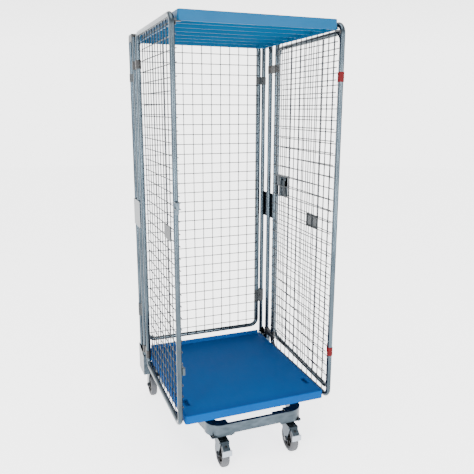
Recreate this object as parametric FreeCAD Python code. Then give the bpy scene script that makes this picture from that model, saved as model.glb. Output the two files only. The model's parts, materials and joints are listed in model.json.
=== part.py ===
import FreeCAD, Part
import math
import os

# Security roll cage: a steel base on four casters, four rear posts, a mesh back panel, two
# mesh side panels on clip hinges, a plastic deck and roof that fold up, and a mesh front door
# that is folded right round to lie outside the right side panel.
# +Z is up, -Y is the open front, +X is to the right seen from the front. Millimetres.

# Cage
HALF_WIDTH = 356.0      # cage centre line to the axis of the side panels' tubes
PANEL_DEPTH = 628.0     # front tube axis to rear tube axis of a side panel
HINGE_POST_Y = 709.0    # post that carries a side panel
REAR_POST_Y = 798.0     # post that carries the back panel
CENTRE = (-29.3, -374.8)  # moves the origin under the middle of the overall box

# Tubes, wires and clearances
TUBE_R = 11.0
TUBE_WALL = 1.5
BEND_R = 40.0           # bend of the frames' corners, on the tube's axis
WIRE_R = 2.15
WIRE_SINK = 0.2         # how far crossing wires melt into each other
WIRE_START = 8.5        # a wire starts this far inside its frame's tube axis
WIRE_PITCH = 50.2
WELD = 0.1              # clearance between pieces of one welded unit
REST = 0.3              # clearance between pieces that move apart
RUN = 0.06              # running clearance of a shaft or ring

# Side panels
SIDE_LOW = 237.0
SIDE_HIGH = 1887.0
SIDE_COLUMNS = 12
SIDE_ROWS = 32
SIDE_FIRST_ROW = 75.6
LABEL = (136.0, 242.0, 1009.0, 1071.0)
DECK_REST_Y = (100.0, 500.0)
REST_WALL = 3.4

# Back panel
BACK_HALF = 324.0
BACK_Y = 790.0
BACK_LOW = 310.0
BACK_PITCH = 50.8
BACK_COLUMNS = 13
BACK_ROWS = 30
BACK_FIRST_ROW = 44.7

# Door, folded back
DOOR_STEP = (19.0, 35.0)  # its hinge tube stands this far out from and behind the front tube
DOOR_TOE = 2.95         # degrees that its free edge stands off
DOOR_WIDTH = 690.0
DOOR_LOW = 262.0
DOOR_HIGH = 1860.0
DOOR_COLUMNS = 13
DOOR_ROWS = 31
DOOR_FIRST_ROW = 34.6
LATCH_LOW = 1087.0
LATCH_HIGH = 1205.0
BOLT_Z = 1188.0
BOLT_REACH = 25.0

# Clips
CLIP_R = 13.0
CLIP_WEB = 10.0
CLAMP_WEB = 30.0
HINGE_CLIPS = ((278.0, 318.0), (1733.0, 1773.0))
DOOR_CLIPS = ((446.0, 486.0), (1660.0, 1700.0))
BACK_CLAMPS = ((456.0, 525.0), (1681.0, 1720.0))

# Deck and roof
PLATFORM_HALF = 332.5
PIVOT_Y = 745.0
PLATFORM_REAR = 762.0
DECK_FRONT = 6.0
DECK_LOW = 232.0
DECK_HIGH = 270.0
ROOF_FRONT = 0.0
ROOF_LOW = 1862.0
ROOF_HIGH = 1904.0
SKIN = 5.0
PIN_R = 6.0
POCKET = (296.0, 122.0)
POCKET_HALF_X = 13.0
POCKET_HALF_Y = 32.0
POCKET_DEPTH = 16.0
KERB_HALF = 316.0       # raised strip along the rear of the deck
KERB_FRONT = 744.0
KERB_HIGH = 288.0
KERB_SEAT = 0.3         # how far the deck's top is cut down under the strip

# Base
BEAM_FRONT = -5.0
BEAM_REAR = 40.0
BEAM_LOW = 155.0
BEAM_HIGH = 202.0
BEAM_HALF = 232.0
BEAM_BEND = 65.0
CHANNEL_HALF = 140.0    # between these ends the beam is only a shallow channel
CHANNEL_DEPTH = 15.0
LEG_WIDTH = 45.0
LEG_END_X = 334.0
LEG_END_Y = 719.8
FOOT_OUTER = 371.0
FOOT_INNER = 336.0
FOOT_HIGH = 272.0       # pillar between the posts
CHEEK_HIGH = (256.0, 290.0)  # outer cheek at its front and at its rear

# Casters
WHEEL_R = 62.5
WHEEL_WIDTH = 32.0
HUB_R = 45.0
CASTER_X = 167.0
CASTER_Y = 37.0
TRAIL = 30.0
REAR_CASTER_X = 318.0
REAR_CASTER_Y = 748.0
PLATE = 4.0
PLATE_LOW = 144.9
PLATE_SIZE = (104.0, 80.0)
BOLT_SPACING = (84.0, 58.0)
FORK_GAP = 18.5
SHEET = 3.0
AXLE_R = 6.0
HOOD_EYE_R = 6.0        # round hole in the brake's hood

V = FreeCAD.Vector
UP = V(0, 0, 1)
NODES = {}


def keep(name, *shapes):
    """Store one node, made of one or more separate solids."""
    NODES[name] = list(shapes)


def keep_pair(name, shape):
    """Store a left-hand piece and its mirror image as left_name and right_name."""
    keep("left_" + name, shape)
    keep("right_" + name, mirrored(shape))


def mirrored(shape):
    return shape.mirror(V(0, 0, 0), V(1, 0, 0))


def both(shapes):
    return shapes + [mirrored(s) for s in shapes]


def box(x0, x1, y0, y1, z0, z1):
    low = V(min(x0, x1), min(y0, y1), min(z0, z1))
    return Part.makeBox(abs(x1 - x0), abs(y1 - y0), abs(z1 - z0), low)


def rod(radius, start, end):
    start = V(*start)
    run = V(*end).sub(start)
    return Part.makeCylinder(radius, run.Length, start, run)


def pipe(radius, bore, start, end):
    return rod(radius, start, end).cut(rod(bore, start, end))


def prism(points, direction):
    """Extrude the closed outline through points along direction."""
    vectors = [V(*p) for p in points]
    face = Part.Face(Part.makePolygon(vectors + [vectors[0]]))
    return face.extrude(V(*direction))


def joined(shapes):
    return shapes[0].multiFuse(shapes[1:]).removeSplitter()


def without(shape, tools):
    for tool in tools:
        shape = shape.cut(tool)
    return shape


def arc(start, middle, end):
    return Part.Arc(V(*start), V(*middle), V(*end)).toShape()


def line(start, end):
    return Part.LineSegment(V(*start), V(*end)).toShape()


def hexagon(across, height, x, y, z):
    """Hexagon nut or bolt head standing on z."""
    ring = [(x + across / math.sqrt(3) * math.cos(math.radians(60 * i)),
             y + across / math.sqrt(3) * math.sin(math.radians(60 * i)), z) for i in range(6)]
    return prism(ring, (0, 0, height))


# Frames and grilles are drawn in the XZ plane, from their lower left corner

def frame_path(width, height):
    r = BEND_R
    m = r * (1 - math.sqrt(0.5))
    w, h = width, height
    return Part.Wire([
        line((r, 0, 0), (w - r, 0, 0)),
        arc((w - r, 0, 0), (w - m, 0, m), (w, 0, r)),
        line((w, 0, r), (w, 0, h - r)),
        arc((w, 0, h - r), (w - m, 0, h - m), (w - r, 0, h)),
        line((w - r, 0, h), (r, 0, h)),
        arc((r, 0, h), (m, 0, h - m), (0, 0, h - r)),
        line((0, 0, h - r), (0, 0, r)),
        arc((0, 0, r), (m, 0, m), (r, 0, 0))])


def tube_frame(width, height):
    """Round tube bent into a closed rectangle."""
    path = frame_path(width, height)
    solids = []
    for radius in (TUBE_R, TUBE_R - TUBE_WALL):
        profile = Part.Wire(Part.makeCircle(radius, V(BEND_R, 0, 0), V(1, 0, 0)))
        solids.append(path.makePipeShell([profile], True, False))
    return solids[0].cut(solids[1])


def grille(width, height, columns, rows, first_row, pitch):
    """Welded wire grille that lies against the -Y side of a frame."""
    upright_y = -(TUBE_R + WELD + WIRE_R)
    level_y = upright_y - 2 * WIRE_R + WIRE_SINK
    first_column = (width - (columns - 1) * pitch) / 2
    wires = []
    for i in range(columns):
        x = first_column + i * pitch
        wires.append(rod(WIRE_R, (x, upright_y, 0), (x, upright_y, height)))
    for i in range(rows):
        z = first_row + i * pitch
        wires.append(rod(WIRE_R, (WIRE_START, level_y, z), (width - WIRE_START, level_y, z)))
    return wires[0].multiFuse(wires[1:])


def turned(shape, degrees, place):
    """Turn about the upright axis through the drawing's corner, then move it into place."""
    turned_shape = shape.copy()
    turned_shape.rotate(V(0, 0, 0), UP, degrees)
    turned_shape.translate(V(*place))
    return turned_shape


def tube_clip(first, second, low, high, web_width=CLIP_WEB):
    """Moulded clip whose two rings turn on two upright tubes; first and second are (x, y)."""
    run = V(second[0] - first[0], second[1] - first[1], 0)
    along = V(run).normalize()
    across = V(-along.y, along.x, 0).multiply(web_width / 2)
    start = V(first[0], first[1], low)
    corners = [start.sub(across), start.sub(across).add(run),
               start.add(across).add(run), start.add(across)]
    web = prism([tuple(c) for c in corners], (0, 0, high - low))
    rings = [rod(CLIP_R, (x, y, low), (x, y, high)) for x, y in (first, second)]
    bores = [rod(TUBE_R + RUN, (x, y, low), (x, y, high)) for x, y in (first, second)]
    return without(joined([web] + rings), bores)


def side_panels():
    height = SIDE_HIGH - SIDE_LOW
    corner = (-HALF_WIDTH, 0, SIDE_LOW)
    frame = turned(tube_frame(PANEL_DEPTH, height), 90, corner)
    mesh = turned(grille(PANEL_DEPTH, height, SIDE_COLUMNS, SIDE_ROWS, SIDE_FIRST_ROW,
                         WIRE_PITCH), 90, corner)
    keep_pair("side_frame", frame)
    keep_pair("side_mesh", mesh)
    y0, y1, z0, z1 = LABEL
    outer = -HALF_WIDTH + TUBE_R + WELD / 2
    keep_pair("label_plate", box(outer - 2, outer, y0, y1, z0, z1))
    tube_face = -HALF_WIDTH + TUBE_R + WELD
    roof_rest = box(tube_face, -HALF_WIDTH + 34, -6, 6, ROOF_LOW - 15, ROOF_LOW - REST)
    rests = [roof_rest.cut(box(tube_face + 4, 0, -20, 20, 0, ROOF_LOW - 4))]
    for y in DECK_REST_Y:
        edge = tube_face + REST_WALL
        rests.append(box(tube_face, edge, y, y + 26, DECK_LOW - 6, SIDE_LOW + 7))
        rests.append(box(edge + WELD, -HALF_WIDTH + 38, y, y + 26, DECK_LOW - 6,
                         DECK_LOW - REST))
    keep("left_panel_rests", *rests)
    keep("right_panel_rests", *[mirrored(r) for r in rests])


def side_clips():
    for name, side in (("left", -1), ("right", 1)):
        x = side * HALF_WIDTH
        clips = [tube_clip((x, HINGE_POST_Y), (x, PANEL_DEPTH), low, high)
                 for low, high in HINGE_CLIPS]
        keep(name + "_hinge_clips", *clips)


def keepers():
    """Catches on the left front tube: one for the door's bolt, one for the door's foot."""
    x0 = -HALF_WIDTH - TUBE_R
    x1 = -HALF_WIDTH + TUBE_R - 1.5
    front = -math.hypot(*DOOR_STEP) - 8
    wall = 3.0
    low, high = BOLT_Z - 11 - wall, BOLT_Z + 11 + wall
    shelves = [box(x0, x1, front, -TUBE_R - WELD, z, z + wall) for z in (low, high - wall)]
    face = box(x0, x1 - 6, front, front + wall, low, high)
    back = box(x0 + 3, x1, -TUBE_R - wall - WELD, -TUBE_R - WELD, low - 24, high)
    keep("latch_keeper", joined(shelves + [face, back]))
    foot = box(-HALF_WIDTH + TUBE_R + WELD, -HALF_WIDTH + 23, -9, 4, 470, 502)
    arm = box(-HALF_WIDTH + 16, -HALF_WIDTH + 23, 3, 40, 474, 498)
    keep("lower_keeper", joined([foot, arm]))


def back_panel():
    height = SIDE_HIGH - BACK_LOW
    corner = (-BACK_HALF, BACK_Y, BACK_LOW)
    keep("back_frame", turned(tube_frame(2 * BACK_HALF, height), 0, corner))
    keep("back_mesh", turned(grille(2 * BACK_HALF, height, BACK_COLUMNS, BACK_ROWS,
                                    BACK_FIRST_ROW, BACK_PITCH), 0, corner))
    clamps = []
    bolts = []
    for low, high in BACK_CLAMPS:
        post, edge = (-HALF_WIDTH, REAR_POST_Y), (-BACK_HALF, BACK_Y)
        middle = ((post[0] + edge[0]) / 2, (post[1] + edge[1]) / 2)
        z = (low + high) / 2
        run = math.hypot(edge[0] - post[0], edge[1] - post[1])
        across = ((post[1] - edge[1]) / run, (edge[0] - post[0]) / run)
        face = CLAMP_WEB / 2 + WELD
        tips = [(middle[0] + across[0] * reach, middle[1] + across[1] * reach, z)
                for reach in (-face - 3, -face, face, face + 3)]
        hole = rod(3.1, tips[0], tips[3])
        clamps.append(tube_clip(post, edge, low, high, CLAMP_WEB).cut(hole))
        shank = rod(3.0, tips[0], tips[3])
        bolts.append(joined([shank, rod(4.0, tips[0], tips[1]), rod(4.0, tips[2], tips[3])]))
    keep("back_clamps", *both(clamps))
    keep("clamp_bolts", *both(bolts))


# Door, drawn like a frame: +X is its width and +Y its outer face, then turned into place

def door_place(shape):
    return turned(shape, 90 - DOOR_TOE, (HALF_WIDTH + DOOR_STEP[0], DOOR_STEP[1], 0))


def lifted(shape, height):
    shape.translate(V(0, 0, height))
    return shape


def door():
    height = DOOR_HIGH - DOOR_LOW
    bolt_slot = box(DOOR_WIDTH - 20, DOOR_WIDTH + 20, -2.9, 2.9, BOLT_Z - 10.4, BOLT_Z + 10.4)
    frame = lifted(tube_frame(DOOR_WIDTH, height), DOOR_LOW).cut(bolt_slot)
    keep("door_frame", door_place(frame))
    mesh = grille(DOOR_WIDTH, height, DOOR_COLUMNS, DOOR_ROWS, DOOR_FIRST_ROW, WIRE_PITCH)
    keep("door_mesh", door_place(lifted(mesh, DOOR_LOW)))
    clips = [tube_clip((HALF_WIDTH, 0), (HALF_WIDTH + DOOR_STEP[0], DOOR_STEP[1]), low, high)
             for low, high in DOOR_CLIPS]
    keep("door_clips", *clips)


def latch():
    left = DOOR_WIDTH - 132
    right = DOOR_WIDTH - TUBE_R - WELD
    back = box(left, right, -TUBE_R, -TUBE_R + 2.5, LATCH_LOW, LATCH_HIGH)
    front = box(left, right, 8, 10.5, LATCH_LOW + 60, LATCH_HIGH)
    end_walls = [box(left, right, -TUBE_R, 10.5, z, z + 2.5)
                 for z in (LATCH_LOW + 60, LATCH_HIGH - 2.5)]
    neck_slot = box(left + 12, left + 62, 5, 15, BOLT_Z - 7, BOLT_Z + 7)
    keep("latch_case", door_place(joined([back, front] + end_walls).cut(neck_slot)))
    bar = box(left + 10, DOOR_WIDTH + BOLT_REACH, -2.5, 2.5, BOLT_Z - 10, BOLT_Z + 10)
    neck = box(left + 44, left + 56, 2, 12.5, BOLT_Z - 5, BOLT_Z + 5)
    grip = box(left + 38, left + 62, 11, 14.5, LATCH_LOW + 6, BOLT_Z + 8)
    lip = box(left + 38, left + 62, 11, 20, LATCH_LOW + 6, LATCH_LOW + 9)
    keep("latch_bolt", door_place(joined([bar, neck, grip, lip])))


def platform(front, low, high):
    """Moulded tray: a top skin with a deep rim, cross ribs and two pin sockets at the rear."""
    half = PLATFORM_HALF
    block = box(-half, half, front, PLATFORM_REAR, low, high)
    upright = [e for e in block.Edges
               if abs(e.Vertexes[0].Z - e.Vertexes[1].Z) > SKIN and e.CenterOfMass.y < PIVOT_Y]
    block = block.makeFillet(12.0, upright)
    rim = [e for e in block.Edges if e.BoundBox.ZMin > high - 0.01]
    block = block.makeFillet(4.0, rim)
    hollow = box(-half + SKIN, half - SKIN, front + SKIN, PLATFORM_REAR - SKIN, low - 1,
                 high - SKIN)
    tray = block.cut(hollow)
    rib_pitch = 110.0
    ribs = [box(-half + 4, half - 4, y - 2, y + 2, low + 6, high - SKIN + 1)
            for y in (front + rib_pitch * i for i in range(1, 7))]
    pivot_z = (low + high) / 2
    reach = 34.0
    bosses = both([box(-half + 2, -half + reach, PIVOT_Y - 14, PLATFORM_REAR - 2,
                       low + 1, high - SKIN + 1)])
    tray = joined([tray] + ribs + bosses)
    sockets = both([rod(PIN_R + RUN, (-half - 1, PIVOT_Y, pivot_z),
                        (-half + reach - 6, PIVOT_Y, pivot_z))])
    return without(tray, sockets)


def pins(pivot_z):
    return both([rod(PIN_R, (-FOOT_INNER - 8, PIVOT_Y, pivot_z),
                     (-PLATFORM_HALF + 27, PIVOT_Y, pivot_z))])


def pocket_box(inset, top):
    """Block in the left hand pocket of the deck, inset from its walls and floor."""
    x, y = POCKET
    half_x, half_y, depth = POCKET_HALF_X - inset, POCKET_HALF_Y - inset, POCKET_DEPTH - inset
    return box(-x - half_x, -x + half_x, y - half_y, y + half_y, DECK_HIGH - depth, top)


def deck_and_roof():
    deck = platform(DECK_FRONT, DECK_LOW, DECK_HIGH)
    outer = pocket_box(0, DECK_HIGH + 1)
    inner = pocket_box(2.0, DECK_HIGH + 2)
    lining = pocket_box(WELD, DECK_HIGH - WELD)
    seat_z = DECK_HIGH - KERB_SEAT
    seat = box(-PLATFORM_HALF - 1, PLATFORM_HALF + 1, KERB_FRONT - WELD, PLATFORM_REAR + 1,
               seat_z, DECK_HIGH + 1)
    kerb = prism([(-KERB_HALF, KERB_FRONT, seat_z + WELD),
                  (-KERB_HALF, KERB_FRONT + 6, KERB_HIGH),
                  (-KERB_HALF, PLATFORM_REAR - 5, KERB_HIGH),
                  (-KERB_HALF, PLATFORM_REAR - 5, seat_z + WELD)], (2 * KERB_HALF, 0, 0))
    keep("deck_panel", without(deck, both([outer]) + [seat]), kerb)
    keep("deck_pockets", *both([lining.cut(inner)]))
    keep("roof_panel", platform(ROOF_FRONT, ROOF_LOW, ROOF_HIGH))
    keep("deck_pins", *pins((DECK_LOW + DECK_HIGH) / 2))
    keep("roof_pins", *pins((ROOF_LOW + ROOF_HIGH) / 2))


# Base

def beam_outline(inset, z):
    """Plan outline of the front beam with its two bends, drawn anticlockwise."""
    half, front, rear = BEAM_HALF - inset, BEAM_FRONT + inset, BEAM_REAR - inset
    tail = BEAM_FRONT + BEAM_BEND
    inner_half = BEAM_HALF - LEG_WIDTH + inset
    outer_r = BEAM_BEND - inset
    inner_r = BEAM_BEND - LEG_WIDTH + inset
    bend_x = BEAM_HALF - BEAM_BEND
    m = math.sqrt(0.5)
    return Part.Wire([
        line((-bend_x, front, z), (bend_x, front, z)),
        arc((bend_x, front, z), (bend_x + outer_r * m, tail - outer_r * m, z), (half, tail, z)),
        line((half, tail, z), (inner_half, tail, z)),
        arc((inner_half, tail, z), (bend_x + inner_r * m, tail - inner_r * m, z),
            (bend_x, rear, z)),
        line((bend_x, rear, z), (-bend_x, rear, z)),
        arc((-bend_x, rear, z), (-bend_x - inner_r * m, tail - inner_r * m, z),
            (-inner_half, tail, z)),
        line((-inner_half, tail, z), (-half, tail, z)),
        arc((-half, tail, z), (-bend_x - outer_r * m, tail - outer_r * m, z),
            (-bend_x, front, z))])


def bolt_places(x, y):
    dx, dy = BOLT_SPACING[0] / 2, BOLT_SPACING[1] / 2
    return [(x - dx, y - dy), (x + dx, y - dy), (x + dx, y + dy), (x - dx, y + dy)]


def bolt_holes(x, y):
    return [rod(4.3, (bx, by, PLATE_LOW - 5), (bx, by, BEAM_LOW + 12))
            for bx, by in bolt_places(x, y)]


def base():
    height = BEAM_HIGH - BEAM_LOW
    wall = 3.0
    tube = Part.Face(beam_outline(0, BEAM_LOW)).extrude(V(0, 0, height))
    core = Part.Face(beam_outline(wall, BEAM_LOW + wall)).extrude(V(0, 0, height - 2 * wall))
    holes = bolt_holes(-CASTER_X, CASTER_Y) + bolt_holes(CASTER_X, CASTER_Y)
    open_back = box(-CHANNEL_HALF, CHANNEL_HALF, BEAM_FRONT + CHANNEL_DEPTH, BEAM_REAR + 1,
                    BEAM_LOW - 1, BEAM_HIGH + 1)
    keep("front_beam", without(tube.cut(core), holes + [open_back]))
    start = BEAM_FRONT + BEAM_BEND + WELD
    leg = prism([(-BEAM_HALF, start, BEAM_LOW), (-BEAM_HALF + LEG_WIDTH, start, BEAM_LOW),
                 (-LEG_END_X + LEG_WIDTH, LEG_END_Y, BEAM_LOW),
                 (-LEG_END_X, LEG_END_Y, BEAM_LOW)], (0, 0, height))
    leg_core = prism([(-BEAM_HALF + wall, start - 1, BEAM_LOW + wall),
                      (-BEAM_HALF + LEG_WIDTH - wall, start - 1, BEAM_LOW + wall),
                      (-LEG_END_X + LEG_WIDTH - wall, LEG_END_Y + 1, BEAM_LOW + wall),
                      (-LEG_END_X + wall, LEG_END_Y + 1, BEAM_LOW + wall)],
                     (0, 0, height - 2 * wall))
    keep_pair("leg", without(leg.cut(leg_core), bolt_holes(-CASTER_X, CASTER_Y)))
    gusset_low = PLATE_LOW + PLATE + WELD
    outline = Part.Face(beam_outline(0, gusset_low)).extrude(V(0, 0, 10))
    corner = box(-BEAM_HALF + BEAM_BEND, -BEAM_HALF + 120, BEAM_FRONT, 96, gusset_low,
                 BEAM_LOW - WELD)
    web = box(-BEAM_HALF + 4, -BEAM_HALF + BEAM_BEND + 1, BEAM_FRONT + BEAM_BEND - 0.5, 96,
              gusset_low, BEAM_LOW - WELD)
    bend = outline.common(box(-BEAM_HALF, -BEAM_HALF + 120, BEAM_FRONT,
                              BEAM_FRONT + BEAM_BEND, gusset_low, BEAM_LOW - WELD))
    infill = box(-BEAM_HALF + LEG_WIDTH - 5, -BEAM_HALF + BEAM_BEND + 1, BEAM_REAR - 20,
                 BEAM_FRONT + BEAM_BEND, gusset_low, BEAM_LOW - WELD)
    gusset = without(joined([corner, web, bend, infill]), bolt_holes(-CASTER_X, CASTER_Y))
    keep("caster_gussets", *both([gusset]))


def rear_feet():
    front = HINGE_POST_Y + TUBE_R + WELD
    rear = REAR_POST_Y - TUBE_R - WELD
    wall = 3.0
    low = PLATE_LOW + PLATE + WELD
    floor = box(-FOOT_OUTER, -REAR_CASTER_X + 46, HINGE_POST_Y - 14, REAR_POST_Y + 14, low,
                BEAM_LOW)
    column = box(-FOOT_OUTER, -FOOT_INNER, front, rear, BEAM_LOW - 1, FOOT_HIGH)
    hollow = box(-FOOT_OUTER + wall, -FOOT_INNER - wall, front + wall, rear - wall, BEAM_LOW,
                 FOOT_HIGH + 1)
    seat = box(-FOOT_INNER - 1, -REAR_CASTER_X + 46, front, front + wall, BEAM_LOW - 1,
               BEAM_HIGH + 6)
    pin_hole = rod(PIN_R + WELD, (-FOOT_INNER - 6, PIVOT_Y, (DECK_LOW + DECK_HIGH) / 2),
                   (-FOOT_INNER + 2, PIVOT_Y, (DECK_LOW + DECK_HIGH) / 2))
    inner_face = -HALF_WIDTH - TUBE_R - WELD
    cheek_front = HINGE_POST_Y - TUBE_R - WELD
    cheek_rear = REAR_POST_Y + TUBE_R + 3
    cheek = prism([(-FOOT_OUTER, cheek_front - 3, low), (-FOOT_OUTER, cheek_rear, low),
                   (-FOOT_OUTER, cheek_rear, CHEEK_HIGH[1]),
                   (-FOOT_OUTER, cheek_front - 3, CHEEK_HIGH[0])],
                  (inner_face + FOOT_OUTER, 0, 0))
    apron = box(-FOOT_OUTER, -HALF_WIDTH + TUBE_R + 3, cheek_front - 3, cheek_front, low,
                CHEEK_HIGH[0])
    foot = joined([floor, column.cut(hollow), seat, cheek, apron])
    keep_pair("rear_foot", without(foot, [pin_hole] + bolt_holes(-REAR_CASTER_X,
                                                                REAR_CASTER_Y)))
    edge = -FOOT_INNER + WELD
    bar = box(edge, -edge, rear - 22, rear - 6, BEAM_HIGH + 4, DECK_LOW - 2)
    bar_core = box(edge - 1, 1 - edge, rear - 20, rear - 8, BEAM_HIGH + 6, DECK_LOW - 4)
    keep("rear_cross_bar", bar.cut(bar_core))


def posts():
    low = BEAM_LOW + WELD
    high = SIDE_HIGH
    hinge_post = pipe(TUBE_R, TUBE_R - TUBE_WALL, (-HALF_WIDTH, HINGE_POST_Y, low),
                      (-HALF_WIDTH, HINGE_POST_Y, high))
    rear_post = pipe(TUBE_R, TUBE_R - TUBE_WALL, (-HALF_WIDTH, REAR_POST_Y, low),
                     (-HALF_WIDTH, REAR_POST_Y, high))
    keep_pair("hinge_post", hinge_post)
    keep_pair("rear_post", rear_post)
    caps = []
    for y in (HINGE_POST_Y, REAR_POST_Y):
        plug = rod(TUBE_R - TUBE_WALL - WELD, (-HALF_WIDTH, y, high - 15),
                   (-HALF_WIDTH, y, high + 1))
        dome = rod(TUBE_R, (-HALF_WIDTH, y, high + WELD), (-HALF_WIDTH, y, high + 6))
        top = [e for e in dome.Edges if e.BoundBox.ZMin > high + 5]
        caps.append(joined([plug, dome.makeFillet(4.0, top)]))
    keep("post_caps", *both(caps))
    front = HINGE_POST_Y + TUBE_R + WELD
    rear = REAR_POST_Y - TUBE_R - WELD
    bridge = box(-HALF_WIDTH - 12, -FOOT_INNER, front, rear, ROOF_LOW + 4, ROOF_HIGH - 4)
    bridge = bridge.makeFillet(3.0, [e for e in bridge.Edges if e.Length > 60])
    pin_z = (ROOF_LOW + ROOF_HIGH) / 2
    bridge = bridge.cut(rod(PIN_R + WELD, (-FOOT_INNER - 9, PIVOT_Y, pin_z),
                            (-FOOT_INNER + 1, PIVOT_Y, pin_z)))
    keep("post_bridges", *both([bridge]))
    outer = -HALF_WIDTH - TUBE_R - WELD
    plate = box(outer - 3, outer, 655, 805, 965, 1100)
    keep("mid_plates", *both([plate]))


# Casters

def side_profile(points, x):
    """Fork cheek: outline in the YZ plane, one sheet thick, its inner face at x."""
    return prism([(x, y, z) for y, z in points], (SHEET, 0, 0))


def wheel(name, x, y):
    half = WHEEL_WIDTH / 2
    tyre = pipe(WHEEL_R, HUB_R + WELD, (x - half, y, WHEEL_R), (x + half, y, WHEEL_R))
    edges = [e for e in tyre.Edges if e.BoundBox.ZMax > WHEEL_R + HUB_R + 10
             and abs(abs(e.CenterOfMass.x - x) - half) < 0.1]
    keep(name + "_tyre", tyre.makeFillet(8.0, edges))
    rim = pipe(HUB_R, HUB_R - 7, (x - half + 3, y, WHEEL_R), (x + half - 3, y, WHEEL_R))
    disc = rod(HUB_R - 6, (x - 4, y, WHEEL_R), (x + 4, y, WHEEL_R))
    boss = rod(15, (x - half - 1.5, y, WHEEL_R), (x + half + 1.5, y, WHEEL_R))
    spoke = box(x - half + 5, x + half - 5, y - 2.5, y + 2.5, WHEEL_R + 10,
                WHEEL_R + HUB_R - 5)
    ribs = []
    for i in range(6):
        rib = spoke.copy()
        rib.rotate(V(x, y, WHEEL_R), V(1, 0, 0), 60 * i)
        ribs.append(rib)
    bore = rod(AXLE_R + RUN, (x - 30, y, WHEEL_R), (x + 30, y, WHEEL_R))
    keep(name + "_hub", joined([rim, disc, boss] + ribs).cut(bore))


def axle(x, y):
    outer = FORK_GAP + SHEET + WELD
    shaft = rod(AXLE_R, (x - outer - 8, y, WHEEL_R), (x + outer + 6, y, WHEEL_R))
    heads = []
    for x0, x1 in ((x - outer - 6, x - outer), (x + outer, x + outer + 5)):
        ring = [(x0, y + 10 * math.cos(math.radians(60 * i)),
                 WHEEL_R + 10 * math.sin(math.radians(60 * i))) for i in range(6)]
        heads.append(prism(ring, (x1 - x0, 0, 0)))
    return joined([shaft] + heads)


def caster_plate(x, y):
    wide, deep = PLATE_SIZE
    plate = box(x - wide / 2, x + wide / 2, y - deep / 2, y + deep / 2, PLATE_LOW,
                PLATE_LOW + PLATE)
    upright = [e for e in plate.Edges
               if abs(e.Vertexes[0].Z - e.Vertexes[1].Z) > PLATE / 2]
    return without(plate.makeFillet(8.0, upright), bolt_holes(x, y))


def front_casters():
    x, y = -CASTER_X, CASTER_Y
    hub_y = y - TRAIL
    kingpin = rod(8, (x, y, PLATE_LOW - 17), (x, y, PLATE_LOW + 1))
    keep("front_caster_plates", *both([joined([caster_plate(x, y), kingpin])]))
    crown = rod(FORK_GAP + SHEET, (x, y, 128), (x, y, 137))
    race = rod(28, (x, y, 133), (x, y, PLATE_LOW - REST))
    race = race.makeChamfer(4.0, [e for e in race.Edges if e.BoundBox.ZMax < 134])
    neck = box(x - FORK_GAP - 1, x + FORK_GAP + 1, y - 48, y + 16, 131, 134)
    points = [(y + 20, 135), (y + 20, 126), (y - 8, 62), (hub_y, 51), (hub_y - 11, 56),
              (hub_y - 16, 80), (y - 66, 122), (y - 66, 135)]
    cheeks = [side_profile(points, x - FORK_GAP - SHEET), side_profile(points, x + FORK_GAP)]
    seat = rod(8 + RUN, (x, y, 100), (x, y, 160))
    hole = rod(AXLE_R + WELD, (x - 40, hub_y, WHEEL_R), (x + 40, hub_y, WHEEL_R))
    pin_y, pin_z = y - 58, 128.0
    pin_hole = rod(3 + WELD, (x - 40, pin_y, pin_z), (x + 40, pin_y, pin_z))
    fork = without(joined([crown, race, neck] + cheeks), [seat, hole, pin_hole])
    keep_pair("front_fork", fork)
    keep_pair("front_axle", axle(x, hub_y))
    pin = rod(3, (x - FORK_GAP - SHEET - 2, pin_y, pin_z),
              (x + FORK_GAP + SHEET + 2, pin_y, pin_z))
    hood = prism([(x - 17, pin_y + 8, pin_z - 3), (x - 17, pin_y + 8, pin_z + 6),
                  (x - 17, pin_y - 6, pin_z + 6), (x - 17, pin_y - 38, pin_z - 20),
                  (x - 17, pin_y - 38, pin_z - 30), (x - 17, pin_y - 6, pin_z - 5)],
                 (34, 0, 0))
    eye = rod(HOOD_EYE_R, (x, pin_y - 28, pin_z), (x, pin_y - 13, pin_z - 18))
    keep_pair("brake_hood", joined([hood, pin]).cut(eye))
    tip = pin_y - 38 - WELD
    keep_pair("brake_pedal", box(x - 22, x + 22, tip - 5, tip, pin_z - 44, pin_z - 18))
    wheel("left_front", x, hub_y)
    wheel("right_front", -x, hub_y)


def rear_casters():
    x, y = -REAR_CASTER_X, REAR_CASTER_Y
    points = [(y + 34, PLATE_LOW + 1), (y + 12, 60), (y, 51), (y - 12, 60),
              (y - 34, PLATE_LOW + 1)]
    cheeks = [side_profile(points, x - FORK_GAP - SHEET), side_profile(points, x + FORK_GAP)]
    hole = rod(AXLE_R + WELD, (x - 40, y, WHEEL_R), (x + 40, y, WHEEL_R))
    fork = joined([caster_plate(x, y)] + cheeks).cut(hole)
    keep("rear_forks", *both([fork]))
    keep("rear_axles", *both([axle(x, y)]))
    wheel("left_rear", x, y)
    wheel("right_rear", -x, y)


def caster_bolts():
    bolts = []
    for x, y in ((-CASTER_X, CASTER_Y), (-REAR_CASTER_X, REAR_CASTER_Y)):
        for bx, by in bolt_places(x, y):
            shank = rod(4, (bx, by, PLATE_LOW - 2), (bx, by, BEAM_LOW - 2 * WELD))
            head = hexagon(13, 5, bx, by, PLATE_LOW - WELD - 5)
            bolts.append(joined([shank, head]))
    keep("caster_bolts", *both(bolts))


def write_nodes():
    os.makedirs("parts", exist_ok=True)
    for name, solids in NODES.items():
        shape = solids[0] if len(solids) == 1 else Part.makeCompound(solids)
        shape = shape.copy()
        shape.translate(V(CENTRE[0], CENTRE[1], 0))
        shape.exportStep("parts/" + name + ".step")


def build():
    base()
    rear_feet()
    posts()
    back_panel()
    side_panels()
    side_clips()
    keepers()
    door()
    latch()
    deck_and_roof()
    front_casters()
    rear_casters()
    caster_bolts()
    write_nodes()


build()
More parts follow.
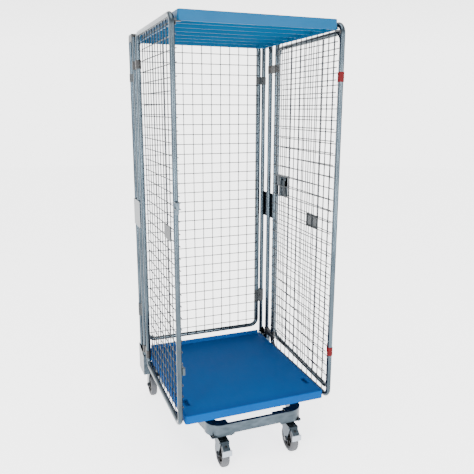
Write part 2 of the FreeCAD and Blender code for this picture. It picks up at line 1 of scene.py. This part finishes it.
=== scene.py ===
import json
import math

import bmesh
import bpy
from mathutils import Matrix, Vector

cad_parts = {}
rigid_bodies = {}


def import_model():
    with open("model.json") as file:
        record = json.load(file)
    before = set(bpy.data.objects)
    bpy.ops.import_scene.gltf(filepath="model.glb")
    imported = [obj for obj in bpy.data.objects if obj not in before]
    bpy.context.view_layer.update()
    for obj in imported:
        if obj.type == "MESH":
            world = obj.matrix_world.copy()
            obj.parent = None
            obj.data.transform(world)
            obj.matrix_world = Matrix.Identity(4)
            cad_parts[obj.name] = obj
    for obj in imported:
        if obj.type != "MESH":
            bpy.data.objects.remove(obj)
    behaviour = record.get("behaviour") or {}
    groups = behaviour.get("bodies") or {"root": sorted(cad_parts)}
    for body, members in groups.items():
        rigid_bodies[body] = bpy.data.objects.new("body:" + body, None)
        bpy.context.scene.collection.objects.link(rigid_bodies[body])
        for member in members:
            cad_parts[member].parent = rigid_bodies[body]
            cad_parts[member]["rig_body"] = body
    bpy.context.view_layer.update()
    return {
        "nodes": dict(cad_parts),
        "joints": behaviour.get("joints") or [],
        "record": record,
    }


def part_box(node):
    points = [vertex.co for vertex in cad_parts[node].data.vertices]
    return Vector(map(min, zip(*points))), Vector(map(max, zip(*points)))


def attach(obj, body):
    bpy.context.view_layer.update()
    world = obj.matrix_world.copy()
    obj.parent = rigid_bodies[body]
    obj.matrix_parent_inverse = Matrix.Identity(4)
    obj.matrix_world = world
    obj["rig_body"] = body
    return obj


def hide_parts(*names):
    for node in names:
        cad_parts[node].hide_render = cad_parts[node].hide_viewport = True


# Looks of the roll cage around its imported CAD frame. Metres, +Z up, -Y the open front.

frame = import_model()
BODY_OF = {node: obj["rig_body"] for node, obj in frame["nodes"].items()}
JOINTS = {joint["name"]: joint for joint in frame["joints"]}
SLOT_OF = {part["node"]: part["material_slot"] for part in frame["record"]["subparts"]}

MM = 0.001
TUBE_R = 11 * MM
BEND_R = 40 * MM
WIRE_R = 2.15 * MM
WIRE_PITCH = 50.2 * MM
BACK_PITCH = 50.8 * MM
SIDE_GRID = (12, 32, 75.6 * MM)     # columns, rows, first row above the frame's lower rail
BACK_GRID = (13, 30, 44.7 * MM)
DOOR_GRID = (13, 31, 34.6 * MM)
DOOR_TOE = math.radians(2.95)
WELD = 0.1 * MM                      # gap between a frame's tubes and its wires
WIRE_SINK = 0.2 * MM                 # how far crossing wires sink into each other
WIRE_START = 8.5 * MM                # a level wire starts this far inside the tube's axis
HUB_R = 45.2 * MM                    # inner radius of a tyre
SHOULDER_R = 8 * MM                  # rounding between a tyre's side and its tread
SEGMENTS = 28                        # around a tube
WIRE_SEGMENTS = 12
WHEEL_SEGMENTS = 64
MERGE = 0.01 * MM                    # vertices closer than this are one
FLAT = math.radians(0.6)             # faces that meet flatter than this are one

CAMERA_PLACE = Vector((-0.9258, -2.4521, 1.5426))
CAMERA_YAW = math.radians(20.94)
CAMERA_PITCH = math.radians(12.74)
CAMERA_ROLL = math.radians(0.12)
CAMERA_LENS = 42.37

BLACK = (0, 0, 0, 1)
WHITE = (1, 1, 1, 1)
SKY_GLOW = {"From Min": 0.1, "From Max": 0.5, "To Min": 4.2, "To Max": 1.3}
FLOOR_RADIUS = 14.0
FLOOR_GAP = 0.5 * MM                 # keeps the floor clear of the wheels
FLOOR_GLOW = 2.6


# Materials

def linear(r, g, b):
    """Linear colour of an 8-bit screen colour."""
    def channel(value):
        value /= 255
        return value / 12.92 if value <= 0.04045 else ((value + 0.055) / 1.055) ** 2.4
    return (channel(r), channel(g), channel(b), 1)


WARM_FILM = linear(120, 112, 96)     # yellowish passivation film on zinc
WORN = (0.52, 0.62)                  # pointiness at which an edge starts and ends up worn
PLASTIC_GRAIN = 0.12 * MM
RUBBER_TOOTH = 0.3 * MM


class Shader:
    """Short calls for building one node material."""

    def __init__(self, name):
        self.material = bpy.data.materials.new(name)
        self.material.use_nodes = True
        self.tree = self.material.node_tree
        self.bsdf = self.tree.nodes["Principled BSDF"]
        coords = self.tree.nodes.new("ShaderNodeTexCoord")
        self.place = coords.outputs["Object"]

    def node(self, kind, **inputs):
        made = self.tree.nodes.new(kind)
        for key, value in inputs.items():
            self.feed(made.inputs[key.replace("_", " ")], value)
        return made

    def feed(self, socket, value):
        if isinstance(value, bpy.types.NodeSocket):
            self.tree.links.new(value, socket)
        else:
            socket.default_value = value

    def stretched(self, scale):
        made = self.node("ShaderNodeMapping", Vector=self.place)
        made.inputs["Scale"].default_value = scale
        return made.outputs["Vector"]

    def noise(self, scale, detail=3.0, place=None, roughness=0.5):
        made = self.node("ShaderNodeTexNoise", Vector=place or self.place, Scale=scale,
                         Detail=detail, Roughness=roughness)
        return made.outputs["Fac"]

    def ramp(self, value, *stops):
        made = self.tree.nodes.new("ShaderNodeValToRGB")
        elements = made.color_ramp.elements
        while len(elements) < len(stops):
            elements.new(0.5)
        for element, (position, colour) in zip(elements, stops):
            element.position = position
            element.color = colour
        self.feed(made.inputs["Fac"], value)
        return made.outputs["Color"]

    def span(self, value, low, high, start=0.0, end=1.0):
        made = self.node("ShaderNodeMapRange", Value=value)
        for name, number in (("From Min", start), ("From Max", end), ("To Min", low),
                             ("To Max", high)):
            made.inputs[name].default_value = number
        return made.outputs["Result"]

    def mix(self, factor, first, second):
        made = self.tree.nodes.new("ShaderNodeMix")
        made.data_type = "RGBA"
        colour_sockets = [socket for socket in made.inputs if socket.type == "RGBA"]
        self.feed(made.inputs["Factor"], factor)
        self.feed(colour_sockets[0], first)
        self.feed(colour_sockets[1], second)
        return next(socket for socket in made.outputs if socket.type == "RGBA")

    def combine(self, operation, first, second):
        made = self.tree.nodes.new("ShaderNodeMath")
        made.operation = operation
        self.feed(made.inputs[0], first)
        self.feed(made.inputs[1], second)
        return made.outputs[0]

    def add(self, first, second):
        return self.combine("ADD", first, second)

    def times(self, first, second):
        return self.combine("MULTIPLY", first, second)

    def worn_edges(self):
        geometry = self.tree.nodes.new("ShaderNodeNewGeometry")
        return self.span(geometry.outputs["Pointiness"], 0, 1, *WORN)

    def bump(self, height, distance, strength):
        made = self.node("ShaderNodeBump", Height=height)
        made.inputs["Distance"].default_value = distance
        made.inputs["Strength"].default_value = strength
        self.tree.links.new(made.outputs["Normal"], self.bsdf.inputs["Normal"])

    def finish(self, **inputs):
        for key, value in inputs.items():
            self.feed(self.bsdf.inputs[key.replace("_", " ")], value)
        return self.material


def zinc(name, dark, light, grain, rough, streaks, relief):
    """Bright zinc plating: cloudy colour, drawn streaks and a faint crystal bloom.

    Grain is the bloom's fineness, streaks the stretch of the drawing marks along each
    axis, and relief the depth of both in metres.
    """
    s = Shader(name)
    cloud = s.noise(9, 4)
    drawn = s.noise(60, 3, s.stretched(streaks))
    bloom = s.noise(grain, 2, roughness=0.7)
    tone = s.add(s.times(cloud, 0.5), s.times(drawn, 0.5))
    colour = s.ramp(tone, (0.32, dark), (0.68, light))
    tinted = s.mix(s.span(s.noise(4, 2), 0, 0.12), colour, WARM_FILM)
    shine = s.add(s.span(bloom, rough - 0.07, rough + 0.07), s.span(cloud, -0.05, 0.05))
    s.bump(s.add(s.times(drawn, 0.8), s.times(bloom, 0.2)), relief, 0.2)
    return s.finish(Base_Color=tinted, Roughness=shine, Metallic=1.0)


def moulded(name, colour, scuffed, rough, grain, gloss=0.5):
    """Moulded plastic: fine grain, slight mottling, and paler scuffs on faces and edges."""
    s = Shader(name)
    grain_height = s.noise(grain, 2, roughness=0.6)
    mottle = s.noise(5, 4)
    scratch = s.noise(30, 5, s.stretched((1, 14, 1)), 0.7)
    scuff = s.span(scratch, 0, 0.55, 0.66, 0.78)
    darker = (colour[0] * 0.86, colour[1] * 0.88, colour[2] * 0.9, 1)
    base = s.mix(s.span(mottle, 0, 1, 0.35, 0.65), darker, colour)
    base = s.mix(scuff, base, scuffed)
    base = s.mix(s.times(s.worn_edges(), 0.35), base, scuffed)
    shine = s.add(s.span(mottle, rough - 0.06, rough + 0.06), s.times(scuff, 0.2))
    s.bump(grain_height, PLASTIC_GRAIN, 0.35)
    return s.finish(Base_Color=base, Roughness=shine, Specular_IOR_Level=gloss)


def rubber(name, colour, dust):
    """Rubber with a fine tooth and dusty patches."""
    s = Shader(name)
    fine = s.noise(700, 3)
    patch = s.noise(35, 4)
    base = s.mix(s.span(patch, 0, 0.5, 0.4, 0.7), colour, dust)
    s.bump(s.add(s.times(fine, 0.5), s.times(patch, 0.5)), RUBBER_TOOTH, 0.4)
    return s.finish(Base_Color=base, Roughness=s.span(fine, 0.62, 0.8))


MATERIALS = {
    "zinc_tube": zinc("zinc_tube", linear(30, 42, 52), linear(70, 84, 94), 900, 0.2,
                      (1, 1, 0.08), 0.00004),
    "zinc_wire": zinc("zinc_wire", linear(18, 24, 30), linear(46, 53, 60), 1200, 0.3,
                      (1, 1, 0.3), 0.00002),
    "zinc_sheet": zinc("zinc_sheet", linear(38, 50, 58), linear(76, 88, 98), 500, 0.33,
                       (0.4, 1, 1), 0.00015),
    "zinc_fastener": zinc("zinc_fastener", linear(60, 64, 68), linear(110, 112, 116), 900,
                          0.28, (1, 1, 1), 0.00005),
    "blue_deck": moulded("blue_deck", linear(0, 60, 118), linear(4, 74, 130), 0.65, 1400,
                         0.04),
    "blue_roof": moulded("blue_roof", linear(0, 68, 104), linear(4, 82, 122), 0.36, 1400,
                         0.12),
    "black_plastic": moulded("black_plastic", linear(8, 9, 11), linear(28, 30, 34), 0.38,
                             1600, 0.4),
    "grey_plastic": moulded("grey_plastic", linear(30, 36, 40), linear(52, 56, 60), 0.45,
                            1600, 0.4),
    "red_plastic": moulded("red_plastic", linear(76, 0, 5), linear(96, 10, 14), 0.45,
                           1600, 0.12),
    "white_plastic": moulded("white_plastic", linear(150, 158, 168), linear(130, 134, 140),
                             0.38, 1600),
    "tread": rubber("tread", linear(60, 62, 66), linear(76, 76, 78)),
    "wheel_centre": moulded("wheel_centre", linear(6, 6, 8), linear(20, 22, 24), 0.5,
                            1500, 0.3),
}


# Mesh helpers

def piece(name, mesh, slot, body, nodes):
    """Make the object, give it its material, and hang it on its body in place of nodes."""
    obj = bpy.data.objects.new(name, mesh)
    bpy.context.scene.collection.objects.link(obj)
    obj.data.materials.clear()
    obj.data.materials.append(MATERIALS[slot])
    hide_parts(*nodes)
    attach(obj, body)
    return obj


def new_mesh(name, bm, sharp=math.radians(35)):
    bmesh.ops.recalc_face_normals(bm, faces=bm.faces)
    mesh = bpy.data.meshes.new(name)
    bm.to_mesh(mesh)
    bm.free()
    mesh.polygons.foreach_set("use_smooth", [True] * len(mesh.polygons))
    mesh.set_sharp_from_angle(angle=sharp)
    return mesh


def ring_of(bm, centre, side, up, radius, count):
    """Circle of vertices about centre in the plane of the unit vectors side and up."""
    verts = []
    for i in range(count):
        turn = 2 * math.pi * i / count
        verts.append(bm.verts.new(centre + side * (radius * math.cos(turn))
                                  + up * (radius * math.sin(turn))))
    return verts


def bridge(bm, first, second):
    count = len(first)
    for i in range(count):
        j = (i + 1) % count
        bm.faces.new((first[i], first[j], second[j], second[i]))


def straight_tube(bm, start, end, radius, count=SEGMENTS):
    """Closed rod with slightly chamfered ends."""
    run = (end - start).normalized()
    side = run.orthogonal().normalized()
    up = run.cross(side)
    soft = min(radius * 0.35, (end - start).length / 4)
    rings = []
    for centre, size in ((start, radius - soft), (start + run * soft, radius),
                         (end - run * soft, radius), (end, radius - soft)):
        rings.append(ring_of(bm, centre, side, up, size, count))
    for first, second in zip(rings, rings[1:]):
        bridge(bm, first, second)
    bm.faces.new(list(reversed(rings[0])))
    bm.faces.new(rings[-1])


def loop_path(width, height, radius, steps=10):
    """Points and directions of a rounded rectangle in the XZ plane from its lower left."""
    corners = ((width - radius, radius, -90), (width - radius, height - radius, 0),
               (radius, height - radius, 90), (radius, radius, 180))
    path = []
    for cx, cz, first in corners:
        for i in range(steps + 1):
            turn = math.radians(first + 90 * i / steps)
            path.append((Vector((cx + radius * math.cos(turn), 0, cz + radius * math.sin(turn))),
                         Vector((math.cos(turn), 0, math.sin(turn)))))
    return path


def tube_loop(bm, width, height, place):
    """Bent tube frame: rings of vertices along a rounded rectangle."""
    across = Vector((0, 1, 0))
    rings = []
    for point, outward in loop_path(width, height, BEND_R):
        rings.append(ring_placed(bm, point, outward, across, place))
    for i, ring in enumerate(rings):
        bridge(bm, ring, rings[(i + 1) % len(rings)])


def ring_placed(bm, point, side, up, place):
    verts = []
    for i in range(SEGMENTS):
        turn = 2 * math.pi * i / SEGMENTS
        offset = side * (TUBE_R * math.cos(turn)) + up * (TUBE_R * math.sin(turn))
        verts.append(bm.verts.new(place @ (point + offset)))
    return verts


def frame_piece(name, node, width, height, place):
    bm = bmesh.new()
    tube_loop(bm, width, height, place)
    mesh = new_mesh(name, bm)
    return piece(name, mesh, SLOT_OF[node], BODY_OF[node], [node])


def wire_piece(name, node, width, height, grid, pitch, place):
    """Round wires of a welded grille."""
    columns, rows, first_row = grid
    bm = bmesh.new()
    upright_y = -(TUBE_R + WIRE_R + WELD)
    level_y = upright_y - 2 * WIRE_R + WIRE_SINK
    first_column = (width - (columns - 1) * pitch) / 2
    for i in range(columns):
        x = first_column + i * pitch
        straight_tube(bm, place @ Vector((x, upright_y, 0)),
                      place @ Vector((x, upright_y, height)), WIRE_R, WIRE_SEGMENTS)
    for i in range(rows):
        z = first_row + i * pitch
        straight_tube(bm, place @ Vector((WIRE_START, level_y, z)),
                      place @ Vector((width - WIRE_START, level_y, z)), WIRE_R,
                      WIRE_SEGMENTS)
    mesh = new_mesh(name, bm)
    return piece(name, mesh, SLOT_OF[node], BODY_OF[node], [node])


def rounded(node, width, segments=2):
    """Copy of a CAD node with its sharp edges rounded, standing for that node."""
    source = frame["nodes"][node]
    bm = bmesh.new()
    bm.from_mesh(source.data)
    bmesh.ops.remove_doubles(bm, verts=bm.verts, dist=MERGE)
    bmesh.ops.dissolve_limit(bm, angle_limit=FLAT, verts=bm.verts, edges=bm.edges)
    mesh = new_mesh(node + "_skin", bm, math.radians(30))
    obj = piece(mesh.name, mesh, SLOT_OF[node], BODY_OF[node], [node])
    bevel = obj.modifiers.new("edges", "BEVEL")
    bevel.width = width
    bevel.segments = segments
    bevel.limit_method = "ANGLE"
    bevel.angle_limit = math.radians(30)
    bevel.harden_normals = True
    return obj


# Pieces

def panels():
    for side in ("left", "right"):
        low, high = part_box(side + "_side_frame")
        width = high.y - low.y - 2 * TUBE_R
        height = high.z - low.z - 2 * TUBE_R
        corner = Vector(((low.x + high.x) / 2, low.y + TUBE_R, low.z + TUBE_R))
        place = Matrix.Translation(corner) @ Matrix.Rotation(math.radians(90), 4, "Z")
        if side == "right":
            place = place @ Matrix.Scale(-1, 4, Vector((0, 1, 0)))
        frame_piece(side + "_side_tube", side + "_side_frame", width, height, place)
        wire_piece(side + "_side_wires", side + "_side_mesh", width, height, SIDE_GRID,
                   WIRE_PITCH, place)
    low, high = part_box("back_frame")
    width = high.x - low.x - 2 * TUBE_R
    height = high.z - low.z - 2 * TUBE_R
    corner = Vector((low.x + TUBE_R, (low.y + high.y) / 2, low.z + TUBE_R))
    place = Matrix.Translation(corner)
    frame_piece("back_tube", "back_frame", width, height, place)
    wire_piece("back_wires", "back_mesh", width, height, BACK_GRID, BACK_PITCH, place)
    low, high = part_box("door_frame")
    hinge = Vector(JOINTS["door_swing"]["pos_m"])
    height = high.z - low.z - 2 * TUBE_R
    width = (high.y - TUBE_R - hinge.y) / math.cos(DOOR_TOE)
    corner = Vector((hinge.x, hinge.y, low.z + TUBE_R))
    place = Matrix.Translation(corner) @ Matrix.Rotation(math.radians(90) - DOOR_TOE, 4, "Z")
    frame_piece("door_tube", "door_frame", width, height, place)
    wire_piece("door_wires", "door_mesh", width, height, DOOR_GRID, WIRE_PITCH, place)


def posts():
    for side in ("left", "right"):
        for kind in ("hinge_post", "rear_post"):
            node = side + "_" + kind
            low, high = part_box(node)
            middle = (low + high) / 2
            bm = bmesh.new()
            straight_tube(bm, Vector((middle.x, middle.y, low.z)),
                          Vector((middle.x, middle.y, high.z)), TUBE_R)
            piece(node + "_tube", new_mesh(node + "_tube", bm), SLOT_OF[node],
                  BODY_OF[node], [node])


def sheet_metal():
    for node in ("front_beam", "left_leg", "right_leg", "caster_gussets", "left_rear_foot",
                 "right_rear_foot", "rear_cross_bar", "mid_plates", "front_caster_plates",
                 "rear_forks", "latch_keeper", "lower_keeper", "latch_case", "latch_bolt",
                 "left_front_fork", "right_front_fork", "left_brake_hood",
                 "right_brake_hood"):
        rounded(node, 0.9 * MM)


def plastics():
    for node in ("post_bridges", "back_clamps", "left_hinge_clips", "right_hinge_clips",
                 "door_clips", "left_label_plate", "right_label_plate", "left_panel_rests",
                 "right_panel_rests", "left_brake_pedal", "right_brake_pedal"):
        rounded(node, 1.2 * MM, 3)
    rounded("deck_panel", 1.5 * MM, 3)
    rounded("roof_panel", 1.5 * MM, 3)


def lathe(bm, profile, centre):
    """Turn the closed profile of (offset along X, radius) points about a wheel's axle."""
    rings = []
    for offset, radius in profile:
        rings.append(ring_of(bm, centre + Vector((offset, 0, 0)), Vector((0, 1, 0)),
                             Vector((0, 0, 1)), radius, WHEEL_SEGMENTS))
    for i, ring in enumerate(rings):
        bridge(bm, ring, rings[(i + 1) % len(rings)])


def tyre_profile(radius, half):
    """Section of a tyre as (offset, radius) points, with a slight crown on the tread."""
    low = SHOULDER_R + MM
    profile = [(-half, HUB_R + 2 * MM), (-half, radius - low - 2 * MM)]
    for i in range(7):
        turn = math.radians(90 * i / 6)
        profile.append((-half + SHOULDER_R - SHOULDER_R * math.cos(turn),
                        radius - low + SHOULDER_R * math.sin(turn)))
    profile.append((0, radius))
    profile += [(-offset, size) for offset, size in reversed(profile[:-1])]
    return profile + [(half - 2 * MM, HUB_R), (-half + 2 * MM, HUB_R)]


def wheels():
    for end in ("left_front", "right_front", "left_rear", "right_rear"):
        low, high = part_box(end + "_tyre")
        centre = (low + high) / 2
        radius = (high.z - low.z) / 2
        half = (high.x - low.x) / 2
        profile = tyre_profile(radius, half)
        bm = bmesh.new()
        lathe(bm, profile, centre)
        piece(end + "_tyre_rubber", new_mesh(end + "_tyre_rubber", bm, math.radians(60)),
              "tread", BODY_OF[end + "_tyre"], [end + "_tyre"])
        rounded(end + "_hub", 0.8 * MM)


def dress_cad_nodes():
    """Give each CAD node that still shows the material of its slot."""
    for node, obj in frame["nodes"].items():
        if obj.hide_render:
            continue
        obj.data.materials.clear()
        obj.data.materials.append(MATERIALS[SLOT_OF[node]])


# Stage

def camera():
    forward = Vector((math.sin(CAMERA_YAW) * math.cos(CAMERA_PITCH),
                      math.cos(CAMERA_YAW) * math.cos(CAMERA_PITCH),
                      -math.sin(CAMERA_PITCH)))
    right = Vector((math.cos(CAMERA_YAW), -math.sin(CAMERA_YAW), 0))
    up = right.cross(forward)
    basis = Matrix((right, up, -forward)).transposed().to_4x4()
    data = bpy.data.cameras.new("camera")
    data.lens = CAMERA_LENS
    data.sensor_width = 36
    obj = bpy.data.objects.new("camera", data)
    obj.matrix_world = (Matrix.Translation(CAMERA_PLACE) @ basis
                        @ Matrix.Rotation(CAMERA_ROLL, 4, "Z"))
    bpy.context.scene.collection.objects.link(obj)
    bpy.context.scene.camera = obj


def area_light(name, place, target, size, power):
    data = bpy.data.lights.new(name, "AREA")
    data.shape = "RECTANGLE"
    data.size, data.size_y = size
    data.energy = power
    obj = bpy.data.objects.new(name, data)
    obj.location = place
    aim = Vector(target) - Vector(place)
    obj.rotation_euler = aim.to_track_quat("-Z", "Y").to_euler()
    bpy.context.scene.collection.objects.link(obj)


def pale_sky():
    """World light that is brightest near the horizon and softer overhead."""
    world = bpy.data.worlds.new("studio")
    bpy.context.scene.world = world
    world.use_nodes = True
    tree = world.node_tree
    back = tree.nodes["Background"]
    back.inputs["Color"].default_value = WHITE
    direction = tree.nodes.new("ShaderNodeTexCoord")
    split = tree.nodes.new("ShaderNodeSeparateXYZ")
    glow = tree.nodes.new("ShaderNodeMapRange")
    for name, number in SKY_GLOW.items():
        glow.inputs[name].default_value = number
    tree.links.new(direction.outputs["Generated"], split.inputs[0])
    tree.links.new(split.outputs["Z"], glow.inputs["Value"])
    tree.links.new(glow.outputs["Result"], back.inputs["Strength"])


def pale_floor():
    bm = bmesh.new()
    bmesh.ops.create_circle(bm, cap_ends=True, segments=96, radius=FLOOR_RADIUS)
    floor = bpy.data.objects.new("floor", new_mesh("floor", bm))
    floor.location.z = -FLOOR_GAP
    s = Shader("floor")
    tone = s.ramp(s.span(s.noise(1.5, 2), 0.86, 0.9), (0, BLACK), (1, WHITE))
    floor.data.materials.append(s.finish(Base_Color=tone, Roughness=0.85,
                                         Emission_Color=WHITE, Emission_Strength=FLOOR_GLOW))
    bpy.context.scene.collection.objects.link(floor)


def studio():
    pale_sky()
    area_light("left strip", (-2.6, -2.9, 1.2), (0, 0, 1.0), (0.5, 2.3), 110)
    area_light("right strip", (0.9, -3.6, 1.2), (0, 0, 1.0), (0.5, 2.3), 80)
    area_light("top", (-0.6, -0.6, 4.2), (0, 0, 0), (2.4, 2.4), 80)
    pale_floor()


panels()
posts()
sheet_metal()
plastics()
wheels()
dress_cad_nodes()
camera()
studio()
